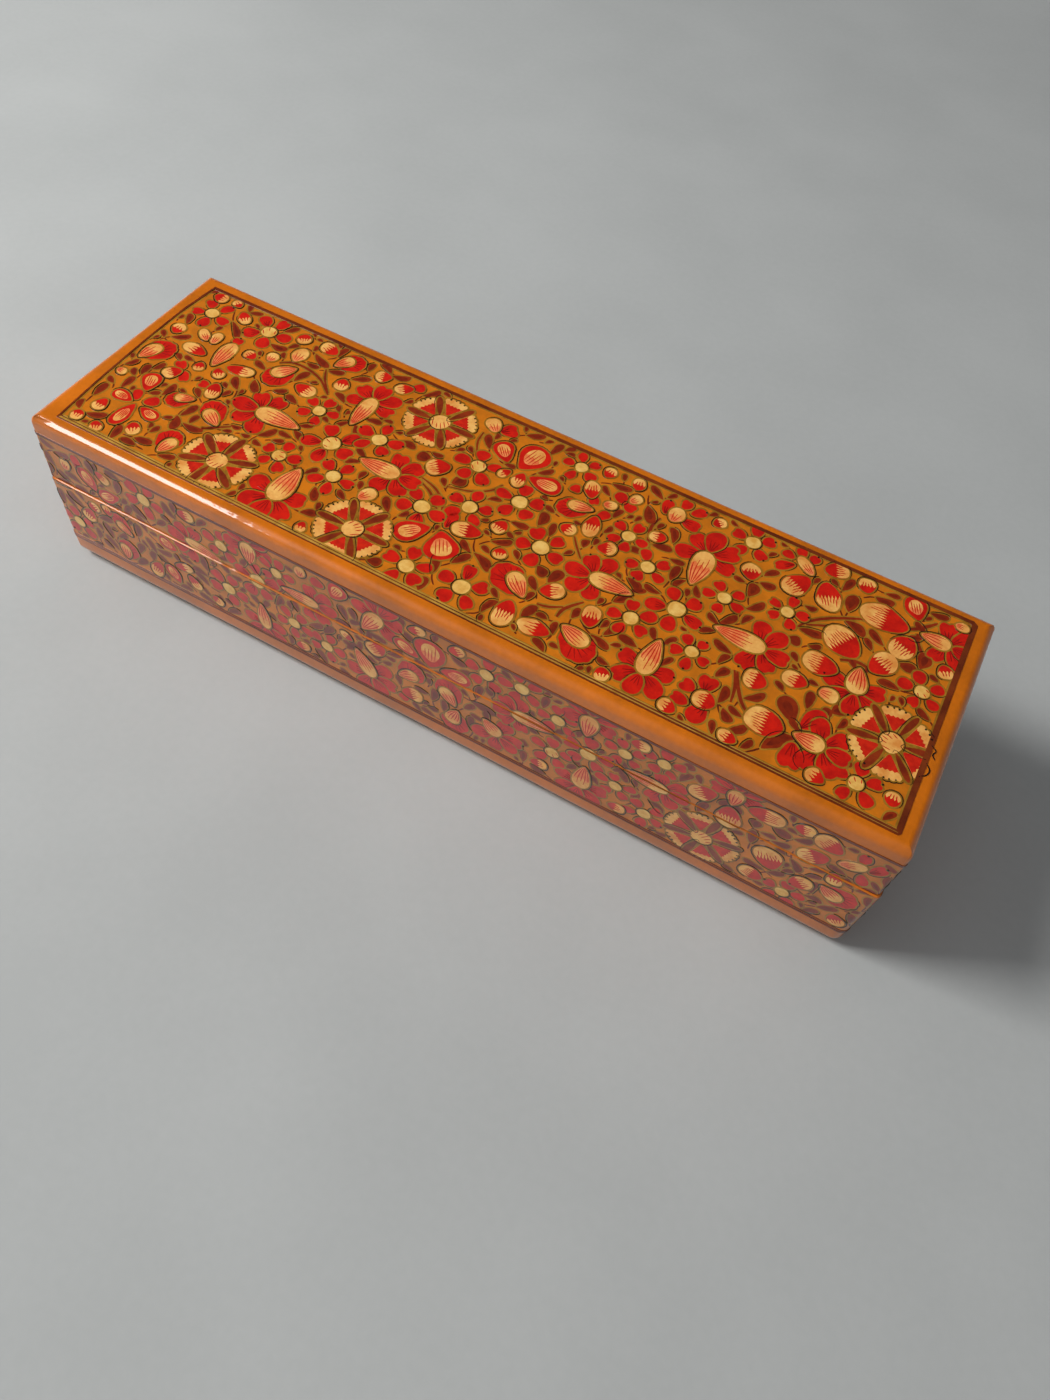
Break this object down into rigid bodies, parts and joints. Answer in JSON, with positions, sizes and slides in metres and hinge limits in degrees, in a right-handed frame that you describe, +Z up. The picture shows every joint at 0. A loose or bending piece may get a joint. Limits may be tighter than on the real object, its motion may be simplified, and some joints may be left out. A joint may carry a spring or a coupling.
{
  "type": "lift-off lid box",
  "caption": "Long low lacquered box, painted all over with small flowers, with a lift-off lid that fits over an inner collar.",
  "frame": {"origin": "middle of the underside, on the surface that the box stands on", "axes": "+X along the box, +Y from the front to the back, +Z up"},
  "size_m": [0.204, 0.0636, 0.0435],
  "materials": {
    "painted_wrap": "gloss",
    "pasteboard": "matte",
    "inside_lining": "satin",
    "collar_board": "satin",
    "underside_paper": "matte"
  },
  "bodies": {
    "base": {"base_back_board": "pasteboard", "base_floor_board": "pasteboard", "base_front_board": "pasteboard", "base_left_board": "pasteboard", "base_lining": "inside_lining", "base_right_board": "pasteboard", "base_wrap": "painted_wrap", "collar_back_strip": "collar_board", "collar_front_strip": "collar_board", "collar_left_strip": "collar_board", "collar_right_strip": "collar_board", "underside_sheet": "underside_paper"},
    "lid": {"lid_back_board": "pasteboard", "lid_front_board": "pasteboard", "lid_left_board": "pasteboard", "lid_lining": "inside_lining", "lid_right_board": "pasteboard", "lid_top_board": "pasteboard", "lid_wrap": "painted_wrap"}
  },
  "joints": [
    {"name": "lid_lift", "type": "slide", "parent": "base", "child": "lid", "axis": [0, 0, 1], "range_m": [0, 0.045]}
  ]
}
